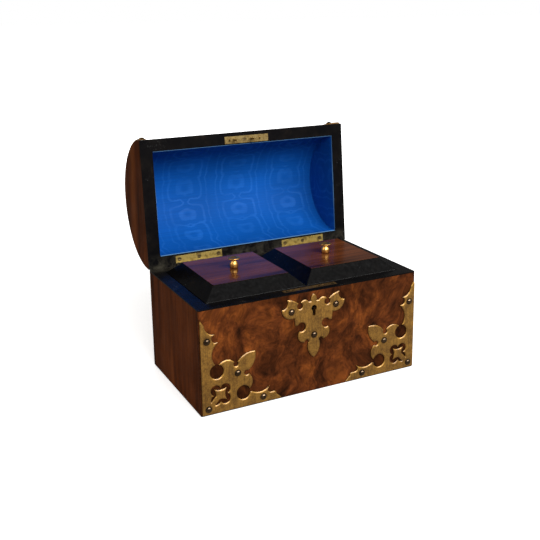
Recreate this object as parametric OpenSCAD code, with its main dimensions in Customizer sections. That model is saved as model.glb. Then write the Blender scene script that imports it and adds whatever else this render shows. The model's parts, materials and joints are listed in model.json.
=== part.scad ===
// Domed tea caddy with two lift-off inner lids, standing with its barrel lid open.
// Millimetres. X runs along the front, -Y is the front, Z is up.
// The origin is the middle of the underside, on the surface the caddy stands on.
// Every piece of the lid is drawn shut and then swung open about the hinge pins.

/* [Box] */
// Length of the box, end to end
box_length = 230; // [220:1:260]
// Depth of the box, front to back
box_depth = 130.5; // [126:0.5:136]
// Height of the rim above the table
rim_height = 101.6; // [100:0.1:110]
// Thickness of a wall at the rim, veneer included
wall = 12.5; // [12:0.1:13]
// Thickness of the walnut veneer
veneer = 1.5; // [1.2:0.1:1.8]
// Thickness of the ebonised edging glued on both rims
edging = 1.2; // [1:0.1:1.4]
// Radius of the upright corners
corner_r = 1.2; // [0.6:0.1:1.2]
// Thickness of the base board
base_t = 8.4; // [7:0.1:10]
// Thickness of the baize under the base
baize_t = 0.6; // [0.4:0.1:1]

/* [Barrel lid] */
// How far the lid stands open, in degrees
lid_open = 94.6; // [0:0.1:94.6]
// Gap between the two rims when the lid is shut
rim_gap = 0.1; // [0.1:0.05:0.3]
// Thickness of the silk-covered card that lines the lid
lining = 0.7; // [0.5:0.1:0.9]
// Number of staves in the barrel
stave_count = 9; // [7:1:11]

/* [Compartments] */
// Thickness of the liner boards, which carry the inner lids
liner_t = 4; // [3:0.5:4.5]
// Thickness of the divider between the compartments
divider_t = 6; // [5:0.5:8]
// Thickness of the lead foil
foil_t = 0.4; // [0.3:0.1:0.6]
// Depth of the seat of the inner lids below the rim
seat_depth = 5.6; // [5:0.1:6]

/* [Inner lids] */
// Side gap between an inner lid and the box
tea_gap = 1; // [0.9:0.1:1.2]
// Height of the polished panel above the rim
tea_rise = 11.4; // [9:0.1:12]
// Width of the ebonised bevel in plan
bevel_run = 12.2; // [10:0.1:13]
// Depth of the plug that drops into the compartment
plug_depth = 5; // [4:0.5:6]
// Height of the knob
knob_h = 10; // [9.5:0.5:11]

/* [Brass] */
// Thickness of the corner mounts and the escutcheon
mount_t = 1.4; // [1:0.1:1.8]
// Diameter of the domed pin heads
pin_d = 6.6; // [5:0.1:7]
// Height of the domed pin heads
pin_h = 2.2; // [1.5:0.1:2.4]
// Length of a hinge
hinge_l = 51; // [46:1:56]
// Distance of the middle of each hinge from the middle of the box
hinge_x = 60.7; // [56:0.1:64]
// Radius of the hinge knuckles
knuckle_r = 2.2; // [2:0.1:2.4]

/* [Hidden] */
$fn = 48;
eps = 0.01;

// Glue line between pieces that share a node
glue = 0.04;

// Outer half sizes, and the inner faces of the carcass
half_l = box_length / 2;
half_d = box_depth / 2;
in_l = half_l - wall;
in_d = half_d - wall;
core_l = half_l - veneer;
core_d = half_d - veneer;
floor_z = baize_t + base_t;
core_top = rim_height - edging;

// Dovetails of the end boards: how many, and their width at the root and at the end
tail_count = 4;
tail_root = 11;
tail_end = 15;

// Lid, as it lies when shut
lid_z = rim_height + rim_gap;
barrel_r = half_d;
core_r = barrel_r - veneer;
stave_r = barrel_r - wall + 0.25;
silk_r = stave_r - lining;
end_silk_t = lining - 0.1;

// Hinge axis: the back top edge of the box, halfway between the rims
hinge_y = half_d;
hinge_z = rim_height + rim_gap / 2;
leaf_w = 10.4;
knuckles = 5;
knuckle_clear = 0.25;
knuckle_end = 0.15;
relief_r = knuckle_r + 0.4;
stop_half = lid_open / 2 + 0.1;
stop_reach = 4.6;
stop_drop = 7;
hinge_pin_d = 2;
pin_clear = 0.03;

// Screws shared by the hinges and the lock: shank, head and length
screw_d = 2.2;
screw_head_d = 4.4;
screw_head_h = 1.1;
screw_l = 9;
hinge_screw_y = hinge_y - 6.7;
hinge_screw_dx = 21.5;

// Lock, cut into the front wall behind the keyhole
key_z = 84.2;
key_r = 2.9;
key_slot_w = 3.2;
key_slot_z = 76.5;
lock_y = -half_d + 7.65;
lock_x0 = -21.4;
lock_x1 = 21.5;
lock_z0 = 72.6;
case_t = 0.9;
case_back_y = lock_y + 1.6;
case_front_y = lock_y - 1.6;
selvedge_w = 6.5;
selvedge_x0 = -27.5;
selvedge_x1 = 28.5;
selvedge_screw_x = [selvedge_x0 + 3.6, selvedge_x1 - 3.6];
bolt_t = 1.5;
bolt_z0 = 87.5;
bolt_z1 = 92.5;
finger_z0 = 95.7;
finger_z1 = 98.4;
bolt_throw = 3.8;
guide_x = -8.4;
guide_z = 90;
guide_d = 1.8;
drill_d = 2;

// Link plate on the lid: two hooked links and two locating studs drop into the lock
link_x = [-12, 7.5];
link_stud_x = [-18.8, 15];
link_screw_x = -2.5;
link_plate_x = [-24.5, 25];
link_plate_w = 7.4;
link_t = 1.6;
link_drop = 8.5;
link_shank = 2;
link_left = 2.6;
link_right = 3;
link_foot_h = 2;
stud_d = 2.4;
stud_drop = 3;

// Inner lids
seat_z = rim_height - seat_depth;
tea_mid = (in_l - tea_gap + 0.3) / 2;
tea_half_x = tea_mid - 0.3;
tea_half_y = in_d - tea_gap;
panel_z = rim_height + tea_rise;
panel_t = 2;
panel_proud = 0.3;
panel_half_x = tea_half_x - bevel_run;
panel_half_y = tea_half_y - bevel_run;
plug_gap = 0.5;
knob_d = 12;
knob_screw_d = 3;

// Pin shanks
shank_d = 1.6;
shank_l = 7;

// Corner mount, measured from the corner of the front: along the foot, then up
side_margin = 1;
foot_margin = 2;
upright_reach = 92;
foot_reach = 80;
mount_pins = [[6.8, 7], [36, 36.2], [7, 71.7], [61.3, 7.2]];

// Escutcheon pins, measured from the middle of the front and from the table
scutcheon_pins = [[-23.6, 84.1], [23.6, 84.1], [0, 57.8]];

// End straps on the lid: middle height along the curve, pins about that middle
strap_mid = 42;
strap_half = 38;
strap_pins = [[7, -27], [7, 27], [22.5, 0]];

// ---------- helpers ----------

// Draws a (y, z) outline from x0 to x1
module along_x(x0, x1) {
    translate([x0, 0, 0]) rotate([90, 0, 90]) linear_extrude(x1 - x0) children();
}

// Draws an (x, z) outline from y0 to y1
module along_y(y0, y1) {
    translate([0, y1, 0]) rotate([90, 0, 0]) linear_extrude(y1 - y0) children();
}

// A box between two corners
module block(low, high) {
    translate(low) cube(high - low);
}

// Keeps the first shape and adds its mirror image
module both_sides() {
    children();
    mirror([1, 0, 0]) children();
}

// A disc at a point of a corner mount, and its twin across the diagonal
module twin_discs(at, r) {
    for (c = [at, [at[1], at[0]]]) translate(c) circle(r = r);
}

// Swings a piece of the lid from shut to where the lid stands
module opened() {
    translate([0, hinge_y, hinge_z]) rotate([-lid_open, 0, 0])
        translate([0, -hinge_y, -hinge_z]) children();
}

// Plan of the box with its upright corners rounded
module box_plan() {
    square([box_length - 2 * corner_r, box_depth], center = true);
    square([box_length, box_depth - 2 * corner_r], center = true);
    for (x = [-1, 1], y = [-1, 1])
        translate([x * (half_l - corner_r), y * (half_d - corner_r)]) circle(r = corner_r);
}

// Outline of the keyhole in the front
module keyhole() {
    translate([0, key_z]) circle(r = key_r);
    translate([-key_slot_w / 2, key_slot_z + key_slot_w / 2])
        square([key_slot_w, key_z - key_slot_z - key_slot_w / 2]);
    translate([0, key_slot_z + key_slot_w / 2]) circle(d = key_slot_w);
}

// A countersunk screw, head upwards, its top at the origin
module screw(d = screw_d, head_d = screw_head_d, length = screw_l) {
    translate([0, 0, -screw_head_h]) cylinder(d1 = d, d2 = head_d, h = screw_head_h);
    translate([0, 0, -length]) cylinder(d = d, h = length - screw_head_h + eps);
}

// The same with its driver slot
module slotted_screw(d = screw_d, head_d = screw_head_d, length = screw_l) {
    difference() {
        screw(d, head_d, length);
        cube([head_d + 1, 0.7, 1], center = true);
    }
}

// A domed pin standing on z = 0, its shank below
module domed_pin() {
    ball_r = (pow(pin_d / 2, 2) + pow(pin_h, 2)) / (2 * pin_h);
    intersection() {
        translate([0, 0, pin_h - ball_r]) sphere(r = ball_r);
        cylinder(d = pin_d + 1, h = pin_h + 1);
    }
    translate([0, 0, -shank_l]) cylinder(d = shank_d, h = shank_l + eps);
}

// Places a piece on every pin of the front, facing forwards
module at_front_pins() {
    both_sides() for (p = mount_pins)
        translate([half_l - p[0], -half_d - mount_t, p[1]]) rotate([90, 0, 0]) children();
    for (p = scutcheon_pins)
        translate([p[0], -half_d - mount_t, p[1]]) rotate([90, 0, 0]) children();
}

module front_shanks() {
    at_front_pins() translate([0, 0, -shank_l]) cylinder(d = shank_d, h = shank_l + 1);
}

// Places a piece on every pin of the lid, facing outwards
module at_lid_pins() {
    both_sides() for (p = strap_pins)
        translate([half_l - p[0], 0, lid_z])
            rotate([90 - (strap_mid + p[1]) / barrel_r * 180 / PI, 0, 0])
                translate([0, 0, barrel_r + mount_t]) children();
}

module lid_shanks() {
    at_lid_pins() translate([0, 0, -shank_l]) cylinder(d = shank_d, h = shank_l + 1);
}

// ---------- carcass ----------

// Dovetails of an end board, as far as the faces of the front and back boards
module tails() {
    pitch = (core_top - floor_z) / tail_count;
    for (i = [0 : tail_count - 1], turn = [0, 180])
        translate([0, floor_z + (i + 0.5) * pitch]) rotate(turn) polygon([
            [in_d - 1, -tail_root / 2], [in_d, -tail_root / 2], [core_d, -tail_end / 2],
            [core_d, tail_end / 2], [in_d, tail_root / 2], [in_d - 1, tail_root / 2]
        ]);
}

module end_board() {
    along_x(in_l, core_l) {
        translate([-in_d, floor_z]) square([2 * in_d, core_top - floor_z]);
        tails();
    }
}

// Space the hinge knuckles need in the back edge of the box
module knuckle_relief() {
    both_sides() translate([hinge_x - hinge_l / 2 - 0.3, hinge_y, hinge_z]) rotate([0, 90, 0])
        cylinder(r = relief_r, h = hinge_l + 0.6);
}

module at_hinge_screws() {
    both_sides() for (i = [-1 : 1]) translate([hinge_x + i * hinge_screw_dx, hinge_screw_y, 0]) children();
}

// Mortise for the lock, open at the top under the selvedge
module lock_mortise() {
    block([lock_x0 - 0.3, case_front_y - case_t - 0.2, lock_z0 - 0.5],
          [lock_x1 + 0.3, case_back_y + case_t + 0.2, core_top + 1]);
}

module at_selvedge_screws() {
    for (x = selvedge_screw_x) translate([x, lock_y, 0]) children();
}

// The screw that holds the link plate points up into the shut lid
module at_link_screw() {
    translate([link_screw_x, lock_y, lid_z]) mirror([0, 0, 1]) children();
}

module base_board() {
    color("burlywood") difference() {
        block([-core_l, -core_d, baize_t], [core_l, core_d, floor_z]);
        front_shanks();
    }
}

module base_baize() {
    inset = 3;
    color("darkgreen") block([-half_l + inset, -half_d + inset, 0], [half_l - inset, half_d - inset, baize_t]);
}

module front_panel() {
    color("burlywood") difference() {
        block([-core_l, -core_d, floor_z], [core_l, -in_d, core_top]);
        both_sides() along_x(in_l, core_l + 1) tails();
        lock_mortise();
        along_y(-core_d - 1, lock_y) keyhole();
        front_shanks();
        at_selvedge_screws() translate([0, 0, rim_height]) screw();
    }
}

module back_panel() {
    color("burlywood") difference() {
        block([-core_l, in_d, floor_z], [core_l, core_d, core_top]);
        both_sides() along_x(in_l, core_l + 1) tails();
        knuckle_relief();
        at_hinge_screws() translate([0, 0, rim_height]) screw();
    }
}

module right_panel() {
    color("tan") difference() {
        end_board();
        front_shanks();
    }
}

module left_panel() {
    mirror([1, 0, 0]) right_panel();
}

// A sheet of veneer: the part of the rounded box between two corners
module veneer_sheet(low, high) {
    intersection() {
        translate([0, 0, baize_t]) linear_extrude(core_top - baize_t) box_plan();
        block(low, high);
    }
}

module front_veneer() {
    color("saddlebrown") difference() {
        veneer_sheet([-half_l, -half_d, 0], [half_l, -core_d, core_top]);
        along_y(-half_d - 1, -core_d + 1) keyhole();
        front_shanks();
    }
}

module back_veneer() {
    color("saddlebrown") difference() {
        veneer_sheet([-half_l, core_d, 0], [half_l, half_d, core_top]);
        knuckle_relief();
    }
}

module right_veneer() {
    color("sienna") veneer_sheet([core_l, -core_d, 0], [half_l, core_d, core_top]);
}

module left_veneer() {
    mirror([1, 0, 0]) right_veneer();
}

// One of four mitred strips round a rectangular opening, side 0 to the right and on anticlockwise
module mitred(side, inner_x, inner_y) {
    far = 2 * half_l;
    across = side % 2 == 0 ? inner_x : inner_y;
    along = side % 2 == 0 ? inner_y : inner_x;
    intersection() {
        children();
        linear_extrude(4 * rim_height) rotate(90 * side) translate([glue / 2, 0]) polygon([
            [across, -along], [across + far, -along - far], [across + far, along + far], [across, along]
        ]);
    }
}

// Leaf-shaped recesses for the hinges in an edging
module leaf_recess(z0, z1) {
    both_sides() block([hinge_x - hinge_l / 2, hinge_y - leaf_w, z0], [hinge_x + hinge_l / 2, hinge_y + 1, z1]);
}

module rim_edging() {
    color("#1a1512") for (side = [0 : 3]) difference() {
        mitred(side, in_l, in_d) translate([0, 0, core_top]) linear_extrude(edging) box_plan();
        block([-in_l, -in_d, 0], [in_l, in_d, lid_z]);
        leaf_recess(core_top - 1, rim_height + 1);
        knuckle_relief();
        block([selvedge_x0, lock_y - selvedge_w / 2, core_top - 1],
              [selvedge_x1, lock_y + selvedge_w / 2, rim_height + 1]);
    }
}

// ---------- compartments ----------

module compartment_liners() {
    color("peru") {
        for (s = [-1, 1]) {
            block([-in_l, s > 0 ? in_d - liner_t : -in_d, floor_z],
                  [in_l, s > 0 ? in_d : -in_d + liner_t, seat_z]);
            block([s > 0 ? in_l - liner_t : -in_l, -in_d + liner_t + glue, floor_z],
                  [s > 0 ? in_l : -in_l + liner_t, in_d - liner_t - glue, seat_z]);
        }
    }
}

module divider() {
    color("peru") block([-divider_t / 2, -in_d + liner_t, floor_z], [divider_t / 2, in_d - liner_t, seat_z]);
}

module right_foil() {
    low = [divider_t / 2, -in_d + liner_t, floor_z];
    high = [in_l - liner_t, in_d - liner_t, seat_z - 0.5];
    color("silver") difference() {
        block(low, high);
        block(low + [foil_t, foil_t, foil_t], high + [-foil_t, -foil_t, 1]);
    }
}

module left_foil() {
    mirror([1, 0, 0]) right_foil();
}

// ---------- brass on the front ----------

// Lobed piercing round a four-pointed star, which stays joined at its lower left point
module star_piercing() {
    lobe_at = 4.6;
    lobe_r = 5;
    tip = 6.2;
    bite_at = 16.7;
    bite_r = 12.2;
    neck_w = 5.2;
    difference() {
        union() {
            square(2 * lobe_at, center = true);
            for (x = [-1, 1], y = [-1, 1]) translate([x * lobe_at, y * lobe_at]) circle(r = lobe_r);
        }
        difference() {
            square(2 * tip, center = true);
            for (a = [0 : 90 : 270]) rotate(a) translate([bite_at, 0]) circle(r = bite_r);
        }
        rotate(225) translate([0, -neck_w / 2]) square([3 * lobe_at, neck_w]);
    }
}

// Upright arm: pointed top, two horns with a bite between them, and a hollowed side
module upright_arm() {
    difference() {
        polygon([
            [side_margin, 40], [17.2, 40], [17.2, 73], [15.2, 73], [15.2, 82],
            [side_margin + 4, upright_reach - 5.5], [side_margin + 0.6, upright_reach],
            [side_margin, upright_reach - 1.5]
        ]);
        translate([15, 87.2]) circle(r = 10.2);
        translate([15.6, 73.1]) circle(r = 3.9);
        translate([26, 57]) circle(r = 14.5);
    }
}

// Foot arm: shorter, with one horn, a bite and a rounded thumb before its point
module foot_arm() {
    difference() {
        union() {
            polygon([
                [40, foot_margin], [foot_reach, foot_margin], [76.6, 5.4], [72.6, 9.2], [69.2, 10.4],
                [67.6, 15.9], [40, 15.9]
            ]);
            translate([72.2, 7.2]) circle(r = 2.8);
        }
        translate([69.2, 12.9]) circle(r = 3.1);
        translate([58, 27]) circle(r = 14.5);
    }
}

// Corner mount in the right angle of the front, its arms along the foot and up the side
module mount_outline() {
    difference() {
        union() {
            polygon([
                [side_margin, foot_margin], [46, foot_margin], [48, 22], [36, 36], [22, 46], [side_margin, 46]
            ]);
            twin_discs([25.4, 40.6], 10.2);
            intersection_for (c = [[50.7, 36.8], [36.8, 50.7]]) translate(c) circle(r = 17.5);
            upright_arm();
            foot_arm();
        }
        twin_discs([15.8, 41.4], 6.8);
        twin_discs([16.4, 48.2], 1.7);
        twin_discs([34.6, 45], 2.4);
        translate([18.9, 18.8]) star_piercing();
    }
}

module right_corner_mount() {
    color("goldenrod") difference() {
        along_y(-half_d - mount_t, -half_d) translate([half_l, 0]) mirror([1, 0]) mount_outline();
        front_shanks();
    }
}

module left_corner_mount() {
    mirror([1, 0, 0]) right_corner_mount();
}

// Pointed leaf on a vertical axis: two arcs that meet at the tips
module leaf(mid_z, half_w, half_h) {
    r = (half_w * half_w + half_h * half_h) / (2 * half_w);
    intersection_for (s = [-1, 1]) translate([s * (r - half_w), mid_z]) circle(r = r);
}

module scutcheon_outline() {
    difference() {
        union() {
            polygon([
                [0, 90], [-14, 88], [-20.2, 82], [-20.2, 75.5], [-19.4, 69.4], [-14, 62], [-8, 56],
                [-5.4, 50.5], [5.4, 50.5], [8, 56], [14, 62], [19.4, 69.4], [20.2, 75.5], [20.2, 82], [14, 88]
            ]);
            both_sides() {
                difference() {
                    intersection() {
                        translate([23, 87.3]) circle(r = 10.4);
                        translate([28.8, 78.6]) circle(r = 17.6);
                    }
                    translate([33.4, 93.6]) circle(r = 6.3);
                }
                translate([9.8, 88.6]) circle(r = 5);
                translate([9.9, 58.8]) circle(r = 7);
            }
            leaf(47.2, 6.5, 12.3);
            leaf(92.6, 3.1, 5.6);
            translate([-6, 88]) square([12, 3.2]);
        }
        both_sides() {
            translate([14.6, 88.2]) circle(r = 3);
            translate([13, 67.3]) circle(r = 4.5);
            polygon([[14, 69.8], [15.4, 63.8], [24, 63.4], [24, 69.4]]);
            translate([7.6, 52]) circle(r = 2.1);
        }
        keyhole();
    }
}

module escutcheon() {
    color("goldenrod") difference() {
        along_y(-half_d - mount_t, -half_d) scutcheon_outline();
        front_shanks();
    }
}

module body_pins() {
    color("darkgoldenrod") at_front_pins() domed_pin();
}

// ---------- lock ----------

// The tray that holds the bolt: back plate, two ends and a bottom
module lock_case() {
    color("gold") difference() {
        block([lock_x0, case_front_y, lock_z0], [lock_x1, case_back_y + case_t, core_top]);
        block([lock_x0 + case_t, case_front_y - 1, lock_z0 + case_t],
              [lock_x1 - case_t, case_back_y, core_top + 1]);
        for (p = [[0, key_z, drill_d], [guide_x, guide_z, guide_d]])
            translate([p[0], case_back_y + case_t + 1, p[1]]) rotate([90, 0, 0])
                cylinder(d = p[2], h = case_t + 2);
    }
}

module lock_cap() {
    color("khaki") along_y(case_front_y - case_t, case_front_y) difference() {
        translate([lock_x0, lock_z0]) square([lock_x1 - lock_x0, core_top - lock_z0]);
        keyhole();
    }
}

module lock_selvedge() {
    color("goldenrod") difference() {
        block([selvedge_x0, lock_y - selvedge_w / 2, core_top], [selvedge_x1, lock_y + selvedge_w / 2, rim_height]);
        for (x = link_x) block([x - link_left - 0.7, lock_y - link_t / 2 - 1, 0],
                               [x + link_right + 0.7, lock_y + link_t / 2 + 1, lid_z]);
        for (x = link_stud_x) translate([x, lock_y, 0]) cylinder(d = stud_d + 1.2, h = lid_z);
        at_selvedge_screws() translate([0, 0, rim_height]) screw();
    }
}

// Drill pin that the key turns on, and the guide stud of the bolt
module lock_studs() {
    color("silver") {
        translate([0, case_back_y + case_t, key_z]) rotate([90, 0, 0])
            cylinder(d = drill_d, h = case_back_y + case_t - lock_y + 5.2);
        translate([guide_x, case_back_y + case_t, guide_z]) rotate([90, 0, 0])
            cylinder(d = guide_d, h = case_back_y + case_t - case_front_y);
    }
}

// Leaf spring from the left end of the case up to the underside of the bolt
module lock_spring() {
    color("silver") along_y(lock_y - 1, lock_y + 1) polygon([
        [lock_x0 + case_t, 78], [lock_x0 + case_t + 0.5, 78], [lock_x0 + case_t + 0.5, 83],
        [-9.4, bolt_z0 - 0.7], [-7, bolt_z0 - 0.3], [-9.8, bolt_z0 - 0.2], [lock_x0 + case_t, 83.8]
    ]);
}

module lock_screws() {
    color("goldenrod") at_selvedge_screws() translate([0, 0, rim_height]) slotted_screw();
}

// Bolt, drawn back: two fingers wait beside the hooks of the links
module lock_bolt() {
    finger_x = link_right + 0.5;
    post_x = link_right + 0.3 + bolt_throw;
    post_w = 2;
    color("gold") along_y(lock_y - bolt_t / 2, lock_y + bolt_t / 2) difference() {
        union() {
            translate([-10.5, bolt_z0]) square([28, bolt_z1 - bolt_z0]);
            for (x = link_x) {
                translate([x + post_x, bolt_z1 - 1]) square([post_w, finger_z1 - bolt_z1 + 1]);
                translate([x + finger_x, finger_z0])
                    square([post_x - finger_x + post_w, finger_z1 - finger_z0]);
            }
        }
        translate([-2, bolt_z0 - 1]) square([7.6, 3]);
        translate([guide_x - 0.2, guide_z]) circle(d = guide_d + 0.5);
        translate([guide_x - 0.2, guide_z - guide_d / 2 - 0.25])
            square([bolt_throw + 0.4, guide_d + 0.5]);
        translate([guide_x + bolt_throw + 0.2, guide_z]) circle(d = guide_d + 0.5);
    }
}

// ---------- hinges ----------

// A leaf lying below the hinge line: its plate, a stop behind the box, and every other knuckle,
// counted from first and bored to suit the pin
module hinge_leaf(first, bore_d) {
    span = hinge_l / knuckles;
    x0 = hinge_x - hinge_l / 2;
    translate([0, hinge_y, hinge_z]) difference() {
        union() {
            along_x(x0, x0 + hinge_l) {
                translate([-leaf_w, -rim_gap / 2 - edging]) square([leaf_w, edging]);
                polygon([
                    [0, 0], [stop_reach * cos(stop_half), -stop_reach * sin(stop_half)],
                    [1.2, -stop_drop], [0, -stop_drop]
                ]);
            }
            for (i = [first : 2 : knuckles - 1])
                along_x(x0 + i * span + (i > 0 ? knuckle_end : 0),
                        x0 + (i + 1) * span - (i < knuckles - 1 ? knuckle_end : 0)) circle(r = knuckle_r);
        }
        for (i = [1 - first : 2 : knuckles - 1])
            along_x(x0 + i * span - (i == 0 ? 1 : 0), x0 + (i + 1) * span + (i == knuckles - 1 ? 1 : 0))
                circle(r = knuckle_r + knuckle_clear);
        along_x(x0 - 1, x0 + hinge_l + 1) circle(d = bore_d);
    }
}

module body_hinge_leaves() {
    color("goldenrod") both_sides() difference() {
        hinge_leaf(0, hinge_pin_d);
        for (i = [-1 : 1]) translate([hinge_x + i * hinge_screw_dx, hinge_screw_y, rim_height]) screw();
    }
}

module hinge_pins() {
    color("darkgoldenrod") both_sides() translate([hinge_x - hinge_l / 2, hinge_y, hinge_z])
        rotate([0, 90, 0]) cylinder(d = hinge_pin_d, h = hinge_l);
}

module body_hinge_screws() {
    color("goldenrod") at_hinge_screws() translate([0, 0, rim_height]) slotted_screw();
}

// Turns a piece of the body side over, about the hinge line, to the lid side
module turned_over() {
    translate([0, 0, 2 * hinge_z]) mirror([0, 0, 1]) children();
}

module lid_hinge_leaves() {
    color("goldenrod") opened() both_sides() turned_over() difference() {
        hinge_leaf(1, hinge_pin_d + 2 * pin_clear);
        for (i = [-1 : 1]) translate([hinge_x + i * hinge_screw_dx, hinge_screw_y, rim_height]) screw();
    }
}

module lid_hinge_screws() {
    color("goldenrod") opened() at_hinge_screws() turned_over() translate([0, 0, rim_height]) slotted_screw();
}

// ---------- inner lids ----------

// Sloping sides of an inner lid: a frustum on an upright edge
module tea_solid(top_z) {
    slope = (panel_z - panel_proud - rim_height) / bevel_run;
    module side(half) {
        top_half = half - (top_z - rim_height) / slope;
        polygon([
            [-half, seat_z], [half, seat_z], [half, rim_height], [top_half, top_z], [-top_half, top_z],
            [-half, rim_height]
        ]);
    }
    translate([tea_mid, 0, 0]) intersection() {
        along_x(-tea_half_x, tea_half_x) side(tea_half_y);
        along_y(-tea_half_y, tea_half_y) side(tea_half_x);
    }
}

module right_tea_bevel() {
    bevel_top = panel_z - panel_proud;
    color("#1a1512") for (side = [0 : 3]) difference() {
        translate([tea_mid, 0, 0]) mitred(side, panel_half_x, panel_half_y)
            translate([-tea_mid, 0, 0]) tea_solid(bevel_top);
        block([tea_mid - panel_half_x, -panel_half_y, 0], [tea_mid + panel_half_x, panel_half_y, 2 * panel_z]);
    }
}

module right_tea_board() {
    color("burlywood") difference() {
        block([tea_mid - panel_half_x, -panel_half_y, seat_z],
              [tea_mid + panel_half_x, panel_half_y, panel_z - panel_t]);
        translate([tea_mid, 0, 0]) cylinder(d = knob_screw_d, h = 2 * panel_z);
    }
}

module right_tea_panel() {
    color("brown") difference() {
        block([tea_mid - panel_half_x, -panel_half_y, panel_z - panel_t],
              [tea_mid + panel_half_x, panel_half_y, panel_z]);
        translate([tea_mid, 0, 0]) cylinder(d = knob_screw_d, h = 2 * panel_z);
    }
}

module right_tea_plug() {
    x0 = divider_t / 2 + foil_t + plug_gap;
    x1 = in_l - liner_t - foil_t - plug_gap;
    y1 = in_d - liner_t - foil_t - plug_gap;
    color("peru") difference() {
        block([x0, -y1, seat_z - plug_depth], [x1, y1, seat_z]);
        translate([tea_mid, 0, seat_z - plug_depth]) mirror([0, 0, 1])
            screw(knob_screw_d, 2 * knob_screw_d, 2 * plug_depth);
    }
}

// Turned knob: a barrel-shaped body, a narrow neck and a flared, dished top
module right_knob() {
    r = knob_d / 2;
    color("gold") translate([tea_mid, 0, panel_z]) difference() {
        rotate_extrude() difference() {
            polygon([
                [0, 0], [3.6, 0], [3.9, 0.9], [4.1, 1.9], [4.15, 2.9], [4, 4], [3.6, 5.1], [3.1, 6],
                [2.6, 6.7], [2.5, knob_h - 2.8], [2.7, knob_h - 2.3], [3.6, knob_h - 1.8],
                [r - 0.5, knob_h - 1.2], [r, knob_h - 0.8], [r, knob_h - 0.4], [r - 0.4, knob_h],
                [0, knob_h]
            ]);
            translate([0, knob_h + 9.2]) circle(r = 10);
        }
        translate([0, 0, -1]) cylinder(d = knob_screw_d, h = 6);
    }
}

module right_knob_screw() {
    length = panel_z + 4.6 - seat_z + plug_depth;
    color("silver") translate([tea_mid, 0, seat_z - plug_depth]) mirror([0, 0, 1])
        slotted_screw(knob_screw_d, 2 * knob_screw_d, length);
}

module left_tea_board() {
    mirror([1, 0, 0]) right_tea_board();
}

module left_tea_bevel() {
    mirror([1, 0, 0]) right_tea_bevel();
}

module left_tea_panel() {
    mirror([1, 0, 0]) right_tea_panel();
}

module left_tea_plug() {
    mirror([1, 0, 0]) right_tea_plug();
}

module left_knob() {
    mirror([1, 0, 0]) right_knob();
}

module left_knob_screw() {
    mirror([1, 0, 0]) right_knob_screw();
}

// ---------- barrel lid ----------

// Half disc of the barrel's end, above the edging
module half_disc(r) {
    intersection() {
        translate([0, lid_z]) circle(r = r, $fn = 96);
        translate([-r, lid_z + edging]) square([2 * r, r]);
    }
}

module stave_outline(i) {
    step = 180 / stave_count;
    line = glue / 2 / stave_r * 180 / PI;
    far = 2 * barrel_r;
    difference() {
        intersection() {
            half_disc(core_r);
            translate([0, lid_z]) polygon([
                [0, 0], far * [cos(i * step + line), sin(i * step + line)],
                far * [cos((i + 1) * step - line), sin((i + 1) * step - line)]
            ]);
        }
        translate([0, lid_z]) circle(r = stave_r, $fn = 96);
    }
}

module lid_staves() {
    color("burlywood") opened() for (i = [0 : stave_count - 1]) difference() {
        along_x(-in_l, in_l) stave_outline(i);
        knuckle_relief();
        lid_shanks();
        at_hinge_screws() turned_over() translate([0, 0, rim_height]) screw();
        at_link_screw() screw();
    }
}

module lid_right_end() {
    color("tan") opened() difference() {
        along_x(in_l, core_l) half_disc(core_r);
        lid_shanks();
    }
}

module lid_left_end() {
    color("tan") opened() mirror([1, 0, 0]) difference() {
        along_x(in_l, core_l) half_disc(core_r);
        lid_shanks();
    }
}

module lid_barrel_veneer() {
    color("saddlebrown") opened() difference() {
        along_x(-core_l, core_l) difference() {
            half_disc(barrel_r);
            translate([0, lid_z]) circle(r = core_r, $fn = 96);
        }
        knuckle_relief();
        lid_shanks();
    }
}

module lid_right_veneer() {
    color("sienna") opened() along_x(core_l, half_l) half_disc(barrel_r);
}

module lid_left_veneer() {
    color("sienna") opened() along_x(-half_l, -core_l) half_disc(barrel_r);
}

module lid_edging() {
    color("#1a1512") opened() for (side = [0 : 3]) difference() {
        mitred(side, in_l, stave_r) translate([0, 0, lid_z]) linear_extrude(edging) box_plan();
        block([-in_l, -stave_r, 0], [in_l, stave_r, 2 * lid_z]);
        leaf_recess(lid_z - 1, lid_z + edging + 1);
        knuckle_relief();
        block([link_plate_x[0], lock_y - link_plate_w / 2, lid_z - 1],
              [link_plate_x[1], lock_y + link_plate_w / 2, lid_z + edging + 1]);
    }
}

module lid_barrel_silk() {
    color("royalblue") opened() along_x(-in_l + end_silk_t, in_l - end_silk_t) intersection() {
        difference() {
            translate([0, lid_z]) circle(r = stave_r, $fn = 96);
            translate([0, lid_z]) circle(r = silk_r, $fn = 96);
        }
        translate([-stave_r, lid_z]) square([2 * stave_r, stave_r]);
    }
}

module end_silk() {
    along_x(in_l - end_silk_t, in_l) intersection() {
        translate([0, lid_z]) circle(r = stave_r, $fn = 96);
        translate([-stave_r, lid_z]) square([2 * stave_r, stave_r]);
    }
}

module lid_right_silk() {
    color("mediumblue") opened() end_silk();
}

module lid_left_silk() {
    color("mediumblue") opened() mirror([1, 0, 0]) end_silk();
}

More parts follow.
